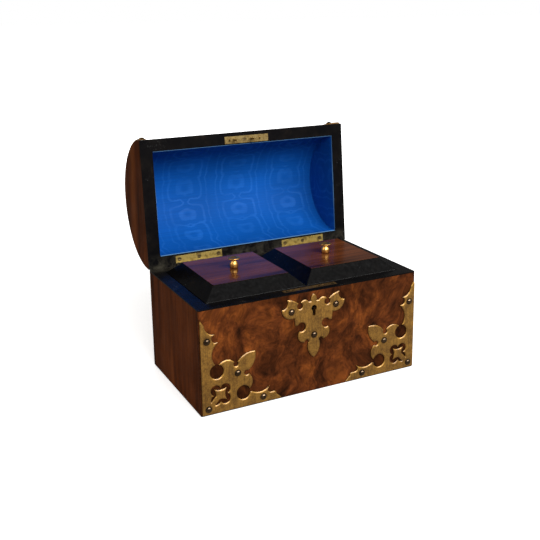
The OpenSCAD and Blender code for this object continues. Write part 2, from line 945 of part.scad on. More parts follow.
// End strap: pointed ends, horned waists and a pierced leaf that points inwards
module strap_outline() {
    difference() {
        union() {
            polygon([
                [side_margin, -strap_half + 1], [side_margin + 0.6, -strap_half],
                [side_margin + 4, -strap_half + 5], [13.5, -strap_half + 8.5], [13.5, strap_half - 8.5],
                [side_margin + 4, strap_half - 5], [side_margin + 0.6, strap_half],
                [side_margin, strap_half - 1]
            ]);
            for (s = [-1, 1]) translate([18, s * 7.4]) circle(r = 7.6);
            rotate(-90) leaf(30, 8, 16);
        }
        for (s = [-1, 1]) {
            translate([14.5, s * (strap_half - 2.6)]) circle(r = 8.6);
            translate([14.5, s * 26.8]) circle(r = 3.3);
            translate([20.5, s * 19.6]) circle(r = 8.4);
            translate([25.5, s * 11.4]) circle(r = 1.9);
            translate([15.2, s * 6.6]) circle(r = 3.4);
        }
    }
}

module lid_strap() {
    intersection() {
        difference() {
            along_x(0, half_l) difference() {
                translate([0, lid_z]) circle(r = barrel_r + mount_t, $fn = 96);
                translate([0, lid_z]) circle(r = barrel_r, $fn = 96);
            }
            lid_shanks();
        }
        translate([half_l, 0, lid_z]) rotate([90 - strap_mid / barrel_r * 180 / PI, 0, 0])
            linear_extrude(2 * barrel_r) mirror([1, 0]) strap_outline();
    }
}

module lid_right_strap() {
    color("goldenrod") opened() lid_strap();
}

module lid_left_strap() {
    color("goldenrod") opened() mirror([1, 0, 0]) lid_strap();
}

module lid_pins() {
    color("darkgoldenrod") opened() at_lid_pins() domed_pin();
}

// Plate with its two hooks and two round-ended studs, as it hangs from the shut lid
module link_plate() {
    color("goldenrod") opened() difference() {
        union() {
            block([link_plate_x[0], lock_y - link_plate_w / 2, lid_z],
                  [link_plate_x[1], lock_y + link_plate_w / 2, lid_z + edging]);
            for (x = link_x) along_y(lock_y - link_t / 2, lock_y + link_t / 2) {
                translate([x - link_left, lid_z - link_drop]) square([link_shank, link_drop + eps]);
                translate([x - link_left, lid_z - link_drop]) square([link_left + link_right, link_foot_h]);
            }
            for (x = link_stud_x) translate([x, lock_y, lid_z - stud_drop])
                cylinder(d1 = stud_d - 1, d2 = stud_d, h = stud_drop + eps);
        }
        at_link_screw() screw();
    }
}

module link_screw() {
    color("goldenrod") opened() at_link_screw() slotted_screw();
}

base_board();
base_baize();
front_panel();
back_panel();
left_panel();
right_panel();
front_veneer();
back_veneer();
left_veneer();
right_veneer();
rim_edging();
compartment_liners();
divider();
left_foil();
right_foil();
left_corner_mount();
right_corner_mount();
escutcheon();
body_pins();
lock_case();
lock_cap();
lock_selvedge();
lock_studs();
lock_spring();
lock_screws();
lock_bolt();
body_hinge_leaves();
hinge_pins();
body_hinge_screws();
left_tea_board();
left_tea_bevel();
left_tea_panel();
left_tea_plug();
left_knob();
left_knob_screw();
right_tea_board();
right_tea_bevel();
right_tea_panel();
right_tea_plug();
right_knob();
right_knob_screw();
lid_staves();
lid_left_end();
lid_right_end();
lid_barrel_veneer();
lid_left_veneer();
lid_right_veneer();
lid_edging();
lid_barrel_silk();
lid_left_silk();
lid_right_silk();
lid_left_strap();
lid_right_strap();
lid_pins();
link_plate();
link_screw();
lid_hinge_leaves();
lid_hinge_screws();
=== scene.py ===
"""Domed walnut tea caddy: looks, light and camera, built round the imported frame.

Everything is in metres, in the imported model's frame: X runs along the front, -Y is the front, Z is up.
"""
import json
import math

import bmesh
import bpy
from mathutils import Matrix, Vector, noise
from mathutils.bvhtree import BVHTree
from mathutils.geometry import delaunay_2d_cdt

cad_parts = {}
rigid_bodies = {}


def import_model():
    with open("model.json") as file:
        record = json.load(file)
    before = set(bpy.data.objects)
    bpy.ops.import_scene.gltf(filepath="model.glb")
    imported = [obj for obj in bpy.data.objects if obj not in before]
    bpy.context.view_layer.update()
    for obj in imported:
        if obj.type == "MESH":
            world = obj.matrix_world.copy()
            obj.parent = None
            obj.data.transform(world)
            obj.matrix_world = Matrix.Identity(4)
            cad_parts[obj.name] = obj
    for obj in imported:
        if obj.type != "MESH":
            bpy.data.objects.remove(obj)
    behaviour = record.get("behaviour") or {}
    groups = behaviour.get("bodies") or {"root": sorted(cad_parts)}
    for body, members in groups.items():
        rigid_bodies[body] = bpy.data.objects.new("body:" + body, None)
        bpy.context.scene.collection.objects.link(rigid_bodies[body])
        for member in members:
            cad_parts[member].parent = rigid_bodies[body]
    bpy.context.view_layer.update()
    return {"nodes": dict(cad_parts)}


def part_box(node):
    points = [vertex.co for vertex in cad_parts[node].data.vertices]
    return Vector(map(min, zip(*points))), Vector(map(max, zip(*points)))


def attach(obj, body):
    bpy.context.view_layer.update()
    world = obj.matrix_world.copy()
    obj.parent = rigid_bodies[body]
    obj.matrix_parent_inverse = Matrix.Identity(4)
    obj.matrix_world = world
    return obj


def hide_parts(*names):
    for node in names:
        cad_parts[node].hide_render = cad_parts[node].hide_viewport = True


MM = 0.001

# Sizes that the part's source also states. Box: half its length, its depth's half (the barrel's radius
# too), the top of its rim and of the polished panels, and the thickness of the brass on its front
BOX_HALF = 115.0 * MM
BARREL_R = 65.25 * MM
RIM_TOP = 101.6 * MM
PANEL_TOP = 113.0 * MM
MOUNT_T = 1.4 * MM

# Lid: its hinge line, how far it stands open, its rim when shut, and its hollow with the silk linings
HINGE = Vector((0, 65.25, 101.65)) * MM
LID_OPEN = math.radians(94.6)
RIM_SHUT = 101.7 * MM
STAVE_R = 53.0 * MM
HOLLOW_HALF = 102.5 * MM
LINING = 0.7 * MM
END_LINING = 0.6 * MM
OPENED = Matrix.Translation(HINGE) @ Matrix.Rotation(-LID_OPEN, 4, "X") @ Matrix.Translation(-HINGE)
BARREL_AXIS = OPENED @ Vector((0, 0, RIM_SHUT))
SILK_ARC = math.pi * (STAVE_R - LINING)

# Where a lining's far turned edge is put when it has only one: past its end
BEYOND = 2.0

# Round openings of a corner mount, as (distance of the middle from the end, height, radius)
PIERCINGS = ((15.8, 41.4, 6.8), (41.4, 15.8, 6.8), (18.9, 18.8, 10.0))

# The shaped edges of the front plates fall away over this run, by this much
FALL_RUN = 1.1 * MM
FALL = 0.6 * MM

# Edges of the plates that stay crisp: past the corner, below the foot, and round the keyhole
PLATE_CORNER = 113.9 * MM
PLATE_FOOT = 2.1 * MM
KEYHOLE_HALF = 3.2 * MM
KEYHOLE_LOW = 76.0 * MM
KEYHOLE_HIGH = 88.0 * MM

# Corners of a CAD mesh closer than WELD are one corner, and edges that turn by more than SHARP are
# sharp ones
WELD = 0.002 * MM
SHARP = math.radians(30)


# ---------- start from an empty scene ----------

for leftover in list(bpy.data.objects):
    bpy.data.objects.remove(leftover)

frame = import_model()
cad = frame["nodes"]


# ---------- node materials ----------

class Shader:
    """A node material with one Principled shader, built from a few short calls."""

    def __init__(self, name):
        self.material = bpy.data.materials.new(name)
        self.material.use_nodes = True
        self.tree = self.material.node_tree
        self.tree.nodes.clear()
        self.surface = self.tree.nodes.new("ShaderNodeBsdfPrincipled")
        output = self.tree.nodes.new("ShaderNodeOutputMaterial")
        self.tree.links.new(self.surface.outputs[0], output.inputs[0])

    def node(self, kind, inputs=None, **settings):
        made = self.tree.nodes.new("ShaderNode" + kind)
        for key, value in settings.items():
            setattr(made, key, value)
        for key, value in (inputs or {}).items():
            self.feed(made.inputs[key], value)
        return made

    def feed(self, socket, value):
        if isinstance(value, bpy.types.NodeSocket):
            self.tree.links.new(value, socket)
        elif socket.type == "RGBA" and len(value) == 3:
            socket.default_value = (*value, 1)
        else:
            socket.default_value = value

    def set(self, **inputs):
        """Feeds the Principled shader; underscores in a name stand for spaces."""
        for key, value in inputs.items():
            self.feed(self.surface.inputs[key.replace("_", " ")], value)

    def place(self, scale=(1, 1, 1), move=(0, 0, 0), turn=(0, 0, 0), source=None):
        """Object coordinates in metres, moved, turned and scaled."""
        if source is None:
            source = self.node("TexCoord").outputs["Object"]
        turn = tuple(math.radians(a) for a in turn)
        inputs = {"Vector": source, "Location": move, "Rotation": turn, "Scale": scale}
        return self.node("Mapping", inputs).outputs[0]

    def noise(self, at, scale, detail=4.0, roughness=0.5, distortion=0.0, output="Fac"):
        inputs = {
            "Vector": at, "Scale": scale, "Detail": detail,
            "Roughness": roughness, "Distortion": distortion,
        }
        return self.node("TexNoise", inputs).outputs[output]

    def math(self, operation, a, b=0.0):
        made = self.node("Math", operation=operation)
        for socket, value in zip(made.inputs, (a, b)):
            self.feed(socket, value)
        return made.outputs[0]

    def product(self, first, *others):
        for other in others:
            first = self.math("MULTIPLY", first, other)
        return first

    def distance(self, a, b):
        """How far away a point is, from its two distances along two axes."""
        squares = self.math("ADD", self.product(a, a), self.product(b, b))
        return self.math("SQRT", squares)

    def vector(self, operation, *values):
        made = self.node("VectorMath", operation=operation)
        for socket, value in zip(made.inputs, values):
            self.feed(socket, value)
        return made.outputs[0]

    def split(self, vector):
        """The X, Y and Z of a vector."""
        return self.node("SeparateXYZ", {"Vector": vector}).outputs

    def tinted(self, colour, *shades):
        """A colour multiplied by each shade in turn."""
        for shade in shades:
            colour = self.mix(1.0, colour, shade, "MULTIPLY")
        return colour

    def warped(self, at, scale, amount, detail=3.0):
        """The same coordinates, pushed about by a soft noise."""
        push = self.noise(at, scale, detail, output="Color")
        centred = self.vector("SUBTRACT", push, (0.5, 0.5, 0.5))
        return self.vector("MULTIPLY_ADD", centred, (amount, amount, amount), at)

    def ramp(self, fac, *stops, gain=1.0):
        """A colour ramp through stops of (position, colour), the colours multiplied by gain."""
        made = self.node("ValToRGB", {"Fac": fac})
        elements = made.color_ramp.elements
        while len(elements) < len(stops):
            elements.new(0.5)
        for element, (position, colour) in zip(elements, stops):
            element.position = position
            element.color = (*(part * gain for part in colour), 1)
        return made.outputs["Color"]

    def span(self, fac, low, high, to_low=0.0, to_high=1.0, smooth=False):
        """The range from low to high, stretched to the range from to_low to to_high."""
        made = self.node("MapRange", {
            "Value": fac, "From Min": low, "From Max": high, "To Min": to_low, "To Max": to_high,
        }, interpolation_type="SMOOTHSTEP" if smooth else "LINEAR")
        return made.outputs["Result"]

    def mix(self, fac, a, b, blend="MIX"):
        made = self.node("Mix", data_type="RGBA", blend_type=blend)
        self.feed(made.inputs[0], fac)
        self.feed(made.inputs[6], a)
        self.feed(made.inputs[7], b)
        return made.outputs[2]

    def painted_corner_shade(self, distance, strength=1.0):
        """Painted shade: 1 in the open and less in corners, from the geometry round about."""
        made = self.node("AmbientOcclusion", {"Distance": distance}, samples=6)
        return self.span(made.outputs["AO"], 0.0, 1.0, 1.0 - strength, 1.0)

    def bump(self, height, depth, strength=1.0, over=None):
        """A normal bent by a height, over another normal if one is given."""
        made = self.node("Bump", {"Height": height, "Distance": depth, "Strength": strength})
        if over is not None:
            self.feed(made.inputs["Normal"], over)
        return made.outputs[0]


def polish_marks(s, at, depth):
    """Fine ripple of an old hand-rubbed polish, as a normal."""
    return s.bump(s.noise(at, 90, 3, 0.55), depth)


def shade_in_openings(s, darkest):
    """Painted shade: 1 in the open and darkest inside the openings of the mounts."""
    x, _, z = s.split(s.place())
    from_end = s.math("SUBTRACT", BOX_HALF, s.math("ABSOLUTE", x))
    outside = 1.0
    for across, up, radius in PIERCINGS:
        dx = s.math("SUBTRACT", from_end, across * MM)
        dz = s.math("SUBTRACT", z, up * MM)
        reach = s.distance(dx, dz)
        clear = s.span(reach, (radius - 0.5) * MM, (radius + 0.6) * MM, darkest, 1.0, smooth=True)
        outside = s.math("MINIMUM", outside, clear)
    return outside


def burr_walnut(name, gain, seed=(0, 0, 0), shaded_in_openings=False):
    """Figured veneer: orange clouds in dark swirling brown, with streaks that follow the swirl."""
    s = Shader(name)
    at = s.place(move=seed)
    swirl = s.warped(s.warped(at, 12, 0.060, 1.5), 42, 0.020, 2.0)
    flow = s.place((1, 1, 0.62), turn=(0, 40, 0), source=swirl)
    cloud = s.noise(flow, 50, 7, 0.66, 0.3)
    base = s.ramp(
        cloud,
        (0.34, (0.026, 0.0078, 0.0030)),
        (0.44, (0.072, 0.0190, 0.0058)),
        (0.53, (0.135, 0.0350, 0.0090)),
        (0.64, (0.260, 0.0700, 0.0140)),
        gain=gain,
    )
    streaks = s.span(s.noise(s.place((1, 1, 0.28), source=swirl), 170, 4, 0.6), 0.3, 0.7, 0.62, 1.26)
    curl = s.math("SINE", s.product(s.noise(swirl, 46, 3, 0.6), 60.0))
    lines = s.span(curl, 0.2, 1.0, 1.0, 0.80, smooth=True)
    smoke = s.span(s.noise(flow, 19, 4, 0.6, 0.6), 0.50, 0.66, 1.0, 0.62, smooth=True)
    # Painted shade: darker in corners and against the mounts, from the geometry round about
    colour = s.tinted(base, s.product(lines, smoke, streaks), s.painted_corner_shade(3.5 * MM, 0.85))
    # Painted shade on the wood seen through the mounts' openings
    if shaded_in_openings:
        colour = s.tinted(colour, shade_in_openings(s, 0.42))
    pores = s.noise(s.place((1, 1, 0.18)), 1500, 1, 0.5)
    s.set(
        Base_Color=colour,
        Roughness=s.span(s.noise(at, 45, 4, 0.6), 0.3, 0.7, 0.32, 0.50),
        Specular_IOR_Level=0.07,
        Specular_Tint=(1.0, 0.65, 0.40),
        Coat_Weight=0.03,
        Coat_Roughness=0.14,
        Coat_Normal=polish_marks(s, at, 0.05 * MM),
        Normal=s.bump(s.span(pores, 0.62, 0.75, 1.0, 0.0), 0.04 * MM, 0.6),
    )
    return s.material


def straight_walnut(name, gloss, turn=(0, 0, 0), seed=(0, 0, 0), gain=1.0, rough=(0.34, 0.5),
                    stained_to=0.0):
    """Plain veneer whose grain runs along Z after the turn, with darker streaks.

    Below the height stained_to it is black, for a panel's edges that were ebonised with its frame.
    """
    s = Shader(name)
    at = s.place(move=seed, turn=turn)
    bent = s.warped(at, 9, 0.012, 2.0)
    streaks = s.noise(s.place((55, 55, 3.2), source=bent), 1.0, 5, 0.6)
    base = s.ramp(
        streaks,
        (0.30, (0.022, 0.0068, 0.0026)),
        (0.44, (0.070, 0.0185, 0.0056)),
        (0.56, (0.112, 0.0300, 0.0082)),
        (0.72, (0.185, 0.0560, 0.0130)),
        gain=gain,
    )
    fine = s.span(s.noise(s.place((900, 900, 16), source=bent), 1.0, 3, 0.6), 0.3, 0.7, 0.74, 1.2)
    cloud = s.span(s.noise(at, 20, 3), 0.35, 0.65, 0.78, 1.12)
    # Painted shade: darker in corners, from the geometry round about
    colour = s.tinted(base, s.product(fine, cloud), s.painted_corner_shade(3.0 * MM, 0.75))
    if stained_to:
        height = s.split(s.place())["Z"]
        colour = s.tinted(colour, s.span(height, stained_to, stained_to + 0.04 * MM, 0.06, 1.0))
    pores = s.span(s.noise(s.place((1300, 1300, 60), source=bent), 1.0, 1), 0.6, 0.72, 1.0, 0.0)
    s.set(
        Base_Color=colour,
        Roughness=s.span(s.noise(at, 50, 4, 0.6), 0.3, 0.7, *rough),
        Specular_IOR_Level=gloss,
        Specular_Tint=(1.0, 0.65, 0.40),
        Normal=s.bump(pores, 0.04 * MM, 0.5, over=polish_marks(s, at, 0.04 * MM)),
    )
    return s.material


def ebonised(name, gloss, rough, gain, dusty=None, front_lit=False):
    """Black-stained, polished wood with faint grain, pale chips and brown where it is rubbed.

    Grey dust lies on it towards the hinges where dusty gives an axis, and where along it the
    dust starts and is full. Where front_lit is set, faces turned to the front are greyer in patches:
    painted light.
    """
    s = Shader(name)
    at = s.place()
    grain = s.noise(s.place((30, 400, 400)), 1.0, 3)
    scuffs_and_light_patches = s.noise(s.warped(at, 60, 0.02), 240, 4, 0.7)
    colour = s.ramp(
        s.noise(at, 70, 5, 0.65),
        (0.40, (0.0030, 0.0028, 0.0034)),
        (0.60, (0.0062, 0.0052, 0.0050)),
        (0.74, (0.0190, 0.0125, 0.0085)),
        gain=gain,
    )
    chips = s.span(s.noise(at, 1000, 2, 0.6), 0.66, 0.70)
    handled = s.span(s.noise(s.place(move=(0.7, 0.2, 0.4)), 42, 2), 0.60, 0.66)
    colour = s.mix(s.product(chips, handled), colour, (0.085, 0.088, 0.085))
    if dusty:
        axis, start, full = dusty
        near = s.span(s.split(at)[axis], start, full, smooth=True)
        lying = s.span(s.noise(s.warped(at, 60, 0.02), 130, 5, 0.7), 0.40, 0.68)
        colour = s.mix(s.product(near, lying), colour, (0.040, 0.036, 0.026))
    # Painted light: faces turned to the front are made greyer, in patches
    if front_lit:
        facing = s.split(s.node("NewGeometry").outputs["Normal"])["Y"]
        rubbed = s.product(s.span(facing, -0.3, -0.5), s.span(scuffs_and_light_patches, 0.35, 0.70, 0.35, 1.0))
        colour = s.mix(rubbed, colour, (0.0090, 0.0089, 0.0088))
    s.set(
        Base_Color=colour,
        Roughness=s.span(scuffs_and_light_patches, 0.4, 0.75, *rough),
        Specular_IOR_Level=gloss,
        Normal=s.bump(grain, 0.03 * MM, 0.4, over=polish_marks(s, at, 0.05 * MM)),
    )
    return s.material


def brass(name, light, dark, rough, mottle=0.12, corner_shade=0.8, brushed=0.0, lacquer=0.0):
    """Old brass: light metal where it is rubbed and dark in specks, with painted shade against its
    neighbours.

    rough is the roughness where it is light and where it is dark.
    """
    s = Shader(name)
    at = s.place()
    patches = s.noise(s.warped(at, 60, 0.02), 110, 5, 0.66)
    specks = s.noise(at, 700, 3, 0.7)
    strokes = s.noise(s.place((1100, 1100, 45)), 1.0, 3, 0.6)
    wear = s.math("ADD", s.product(patches, 0.55), s.product(specks, 0.45))
    metal = s.mix(s.span(wear, 0.5 - mottle, 0.5 + mottle, 1.0, 0.0, smooth=True), light, dark)
    sheen = s.span(strokes, 0.35, 0.65, 1.0 - brushed, 1.0 + brushed / 2)
    s.set(
        # Painted shade: darker in corners and round the pins, from the geometry round about
        Base_Color=s.tinted(metal, sheen, s.painted_corner_shade(1.8 * MM, corner_shade)),
        Metallic=1.0,
        Coat_Weight=lacquer,
        Coat_Roughness=0.28,
        Roughness=s.span(wear, 0.35, 0.65, rough[1], rough[0]),
        Normal=s.bump(strokes, 0.02 * MM, 0.5, over=s.bump(s.noise(at, 260, 4, 0.6), 0.05 * MM, 0.6)),
    )
    return s.material


def hinge_brass(name):
    """Pale brass of the hinge leaves, black round the hinge line: painted shade of the gap at the
    knuckles.
    """
    s = Shader(name)
    at = s.place()
    _, y, z = s.split(at)
    reach = s.distance(s.math("SUBTRACT", y, HINGE.y), s.math("SUBTRACT", z, HINGE.z))
    ragged = s.math("ADD", reach, s.span(s.noise(at, 420, 3), 0.3, 0.7, -0.4 * MM, 0.4 * MM))
    # Painted shade: black and not metal near the hinge line, where the knuckles sit in the gap
    outside_knuckle_shade = s.span(ragged, 2.6 * MM, 3.8 * MM, smooth=True)
    wear = s.noise(at, 210, 4, 0.6)
    metal = s.mix(s.span(wear, 0.46, 0.68, smooth=True), (0.62, 0.46, 0.14), (0.30, 0.20, 0.055))
    # Painted shade: darker in corners, from the geometry round about
    metal = s.tinted(metal, s.painted_corner_shade(0.8 * MM, 0.75))
    s.set(
        Base_Color=s.mix(outside_knuckle_shade, (0.010, 0.008, 0.006), metal),
        Metallic=outside_knuckle_shade,
        Roughness=s.span(outside_knuckle_shade, 0.0, 1.0, 0.7, 0.46),
        Specular_IOR_Level=0.2,
        Normal=s.bump(wear, 0.06 * MM, 0.6),
    )
    return s.material


def steel(name):
    """Bright steel with brown stains."""
    s = Shader(name)
    at = s.place()
    stain = s.noise(at, 160, 5, 0.65)
    colour = s.ramp(stain, (0.4, (0.42, 0.41, 0.40)), (0.68, (0.16, 0.13, 0.11)))
    s.set(
        Base_Color=colour,
        Metallic=1.0,
        Roughness=s.span(stain, 0.35, 0.7, 0.28, 0.5),
        Normal=s.bump(s.noise(at, 900, 2), 0.02 * MM, 0.5),
    )
    return s.material


def lead_foil(name):
    """Dull lead foil, creased all over."""
    s = Shader(name)
    at = s.place()
    creases = s.noise(s.warped(at, 70, 0.03), 110, 6, 0.62)
    colour = s.ramp(creases, (0.35, (0.13, 0.13, 0.14)), (0.6, (0.30, 0.30, 0.31)))
    s.set(
        Base_Color=colour,
        Metallic=1.0,
        Roughness=s.span(creases, 0.35, 0.65, 0.55, 0.38),
        Normal=s.bump(creases, 0.5 * MM, 0.8),
    )
    return s.material


def plain_wood(name, dark, light, turn=(0, 0, 0)):
    """Bare wood inside the carcass, its grain along X before the turn, with painted shade in its corners
    and hollows.
    """
    s = Shader(name)
    at = s.place(turn=turn)
    bent = s.warped(at, 12, 0.008, 2.0)
    rings = s.noise(s.place((4, 90, 90), source=bent), 1.0, 4, 0.55)
    fine = s.span(s.noise(s.place((40, 1200, 1200), source=bent), 1.0, 2), 0.3, 0.7, 0.85, 1.1)
    colour = s.ramp(rings, (0.35, dark), (0.65, light))
    s.set(
        # Painted shade: darker in corners and hollows, from the geometry round about
        Base_Color=s.tinted(colour, fine, s.painted_corner_shade(20.0 * MM)),
        Roughness=s.span(rings, 0.3, 0.7, 0.55, 0.7),
        Specular_IOR_Level=0.1,
        Normal=s.bump(fine, 0.05 * MM, 0.6),
    )
    return s.material


def watered_silk(name, arc):
    """Blue moire: fine ribs, pressed into columns of nested rounded squares with plain bands between.

    The piece's UV map runs in metres, first along the ribs and then across them. The silk is
    turned over at 0 and at arc across the ribs, and is paler along both turns.
    """
    s = Shader(name)
    uv = s.node("UVMap").outputs[0]
    along, across, _ = s.split(uv)
    half_column = 30.5 * MM
    half_row = 13.0 * MM
    folded = s.math("PINGPONG", s.math("ADD", along, 12.0 * MM), half_column)
    mirrored = s.node("CombineXYZ", {"X": folded, "Y": across}).outputs[0]
    wobble = s.math("SUBTRACT", s.noise(mirrored, 95, 3, 0.55), 0.5)
    drift = s.math("SUBTRACT", s.noise(mirrored, 22, 2, 0.5), 0.5)
    side = s.math("ADD", s.math("DIVIDE", folded, half_column), s.product(wobble, 0.16))
    shift = s.math("ADD", s.product(drift, 20.0 * MM), s.product(wobble, 5.0 * MM))
    row = s.math("DIVIDE", s.math("PINGPONG", s.math("ADD", across, shift), half_row), half_row)
    pinch = s.span(s.noise(mirrored, 31, 1, 0.5), 0.40, 0.60, 0.55, 0.95, smooth=True)
    from_side = s.math("POWER", s.math("DIVIDE", side, 0.78), 3.0)
    from_row = s.math("POWER", s.product(row, pinch), 3.0)
    ring = s.math("POWER", s.math("ADD", from_side, from_row), 0.60)
    waves = s.math("SINE", s.product(ring, 12.5))
    band = s.span(side, 0.80, 0.88, 1.0, 0.12, smooth=True)
    water = s.product(s.span(waves, 0.1, 1.0, smooth=True), band)
    patchy = s.span(s.noise(uv, 26, 3, 0.6), 0.35, 0.65, 0.35, 1.0, smooth=True)
    crumble = s.span(s.noise(s.place((900, 300, 1), source=uv), 1.0, 3, 0.6), 0.3, 0.7, 0.75, 1.15)
    pressed = s.product(water, patchy, crumble)
    threads = s.span(s.noise(s.place((14, 800, 1), source=uv), 1.0, 3, 0.6), 0.3, 0.7, 0.90, 1.08)
    tone = s.product(threads, s.span(s.noise(uv, 17, 3, 0.5), 0.3, 0.7, 0.88, 1.08))
    colour = s.tinted(s.mix(pressed, (0.0030, 0.076, 0.335), (0.0090, 0.100, 0.400)), tone)
    inward = s.math("MINIMUM", across, s.math("SUBTRACT", arc, across))
    turned = s.span(inward, 0.7 * MM, 1.2 * MM, 0.75, 0.0, smooth=True)
    ribs = s.math("SINE", s.product(across, 2 * math.pi / (0.55 * MM)))
    s.set(
        Base_Color=s.mix(turned, colour, (0.10, 0.22, 0.36)),
        Roughness=s.span(pressed, 0.0, 1.0, 0.60, 0.46),
        Specular_IOR_Level=0.05,
        Normal=s.bump(s.math("ADD", ribs, water), 0.03 * MM, 0.4),
    )
    return s.material


def green_baize(name):
    """Green baize, paler where it is worn."""
    s = Shader(name)
    at = s.place()
    nap = s.noise(at, 1400, 4, 0.7)
    worn = s.noise(at, 30, 4, 0.6)
    colour = s.mix(s.span(nap, 0.3, 0.7), (0.010, 0.045, 0.018), (0.030, 0.105, 0.042))
    colour = s.mix(s.span(worn, 0.55, 0.75), colour, (0.07, 0.085, 0.04))
    s.set(
        Base_Color=colour,
        Roughness=0.95,
        Specular_IOR_Level=0.15,
        Sheen_Weight=0.5,
        Sheen_Roughness=0.6,
        Sheen_Tint=(0.4, 0.8, 0.5, 1.0),
        Normal=s.bump(nap, 0.25 * MM, 0.8),
    )
    return s.material


def dust_and_shade_shader(name):
    """Brown dust and wax, in clumps, also dark enough to stand as painted shade over the hinge gap."""
    s = Shader(name)
    at = s.place()
    clumps = s.noise(at, 500, 4, 0.7)
    s.set(
        Base_Color=s.ramp(clumps, (0.35, (0.010, 0.0085, 0.0065)), (0.68, (0.055, 0.048, 0.036))),
        Roughness=0.95,
        Specular_IOR_Level=0.05,
        Normal=s.bump(clumps, 0.1 * MM, 0.8),
    )
    return s.material


burr = burr_walnut("BurrWalnut", gain=0.74, shaded_in_openings=True)
burr_back = burr_walnut("BurrWalnutBack", gain=0.72, seed=(0.11, 0.27, 0.09))
burr_lid = burr_walnut("BurrWalnutLid", gain=0.75, seed=(0.31, 0.12, 0.44))
straight = straight_walnut("StraightWalnut", 0.015, gain=1.25)
straight_lid = straight_walnut("StraightWalnutLid", 0.015, turn=(-4.6, 0, 0), seed=(0.13, 0.4, 0.2))
panel_wood = straight_walnut(
    "PolishedPanelWalnut", 0.22, turn=(0, 90, 0), seed=(0.2, 0.6, 0.1), gain=1.05, rough=(0.14, 0.24),
    stained_to=PANEL_TOP - 0.05 * MM)
rim_ebony = ebonised("EbonisedRim", 0.07, (0.26, 0.40), 0.7, dusty=("Y", 50.0 * MM, 62.0 * MM))
lid_ebony = ebonised("EbonisedLidRim", 0.035, (0.40, 0.58), 0.85, dusty=("Z", 118.0 * MM, 106.0 * MM))
tea_ebony = ebonised("EbonisedBevel", 0.10, (0.16, 0.32), 0.45, front_lit=True)
mount_brass = brass(
    "AntiqueBrass", (0.55, 0.295, 0.052), (0.22, 0.105, 0.018), (0.52, 0.64), mottle=0.15,
    brushed=0.24, lacquer=0.8)
pin_brass = brass(
    "PinBrass", (0.155, 0.105, 0.062), (0.050, 0.034, 0.022), (0.18, 0.28), mottle=0.10, corner_shade=1.0)
lock_brass = brass("LockBrass", (0.56, 0.43, 0.18), (0.33, 0.22, 0.08), (0.34, 0.48))
link_brass = brass("LinkBrass", (0.46, 0.34, 0.135), (0.20, 0.13, 0.045), (0.34, 0.48))
# Painted shade: a darker copy of the lock brass for the selvedge, which faces the dark tea-lid bevels
selvedge_shade_brass = brass("SelvedgeShadeBrass", (0.31, 0.190, 0.078), (0.135, 0.078, 0.030), (0.50, 0.65))
# Painted shade: near-black brass for the lock case and cap, seen only through the keyhole
shaded_brass = brass(
    "ShadedBrass", (0.06, 0.045, 0.025), (0.020, 0.014, 0.008), (0.50, 0.65), corner_shade=1.0)
screw_brass = brass("ScrewBrass", (0.30, 0.21, 0.09), (0.12, 0.08, 0.035), (0.34, 0.48))
knob_brass = brass("KnobBrass", (1.0, 0.60, 0.17), (0.70, 0.35, 0.09), (0.30, 0.42), corner_shade=0.4)
# Painted shade: near-black steel for the lock spring and studs, seen through the keyhole
painted_shade_steel = brass(
    "PaintedShadeSteel", (0.05, 0.045, 0.04), (0.02, 0.017, 0.015), (0.50, 0.65), corner_shade=1.0)
leaf_brass = hinge_brass("HingeBrass")
iron = steel("LockSteel")
foil = lead_foil("LeadFoil")
pine = plain_wood("Pine", (0.36, 0.20, 0.09), (0.55, 0.36, 0.18))
pine_end = plain_wood("PineEnd", (0.36, 0.20, 0.09), (0.55, 0.36, 0.18), turn=(0, 0, 90))
mahogany = plain_wood("Mahogany", (0.10, 0.030, 0.012), (0.20, 0.07, 0.028))
barrel_blue = watered_silk("WateredSilk", SILK_ARC)
end_blue = watered_silk("WateredSilkEnd", BEYOND)
baize = green_baize("GreenBaize")
dust = dust_and_shade_shader("DustAndShade")


# ---------- CAD pieces that stay as they are ----------

def paint(material, slot, *nodes):
    """Gives CAD pieces a material; the slot argument is not used."""
    for name in nodes:
        cad[name].data.materials.clear()
        cad[name].data.materials.append(material)


paint(
    pine, "pine", "base_board", "front_panel", "back_panel", "lid_staves", "left_tea_board",
    "right_tea_board")
paint(pine_end, "pine", "left_panel", "right_panel", "lid_left_end", "lid_right_end")
paint(mahogany, "mahogany", "compartment_liners", "divider", "left_tea_plug", "right_tea_plug")
paint(foil, "foil", "left_foil", "right_foil")
paint(iron, "lock_steel", "left_knob_screw", "right_knob_screw")
# Painted shade: the lock parts behind the keyhole are near black
paint(painted_shade_steel, "lock_steel", "lock_spring", "lock_studs")
paint(shaded_brass, "lock_brass", "lock_case", "lock_cap")
paint(lock_brass, "lock_brass", "lock_bolt")
paint(pin_brass, "pin_metal", "hinge_pins")


# ---------- finished meshes ----------

def welded(node):
    """A copy of a CAD node's mesh, with its faces joined at their corners."""
    shape = bmesh.new()
    shape.from_mesh(cad[node].data)
    bmesh.ops.remove_doubles(shape, verts=shape.verts, dist=WELD)
    return shape


def piece(mesh, material, body, nodes=()):
    """A mesh put in the scene as a piece that rides on a body and stands for CAD nodes."""
    mesh.materials.append(material)
    made = bpy.data.objects.new(mesh.name, mesh)
    bpy.context.scene.collection.objects.link(made)
    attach(made, body)
    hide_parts(*nodes)
    return made


def hard_piece(mesh, crisp, material, body, node):
    """A piece shaded smooth, but for the edges that turn by more than crisp degrees."""
    mesh.shade_smooth()
    mesh.set_sharp_from_angle(angle=math.radians(crisp))
    made = piece(mesh, material, body, (node,))
    made.modifiers.new("WeightedNormal", "WEIGHTED_NORMAL").keep_sharp = True


# ---------- CAD pieces with their edges softened ----------

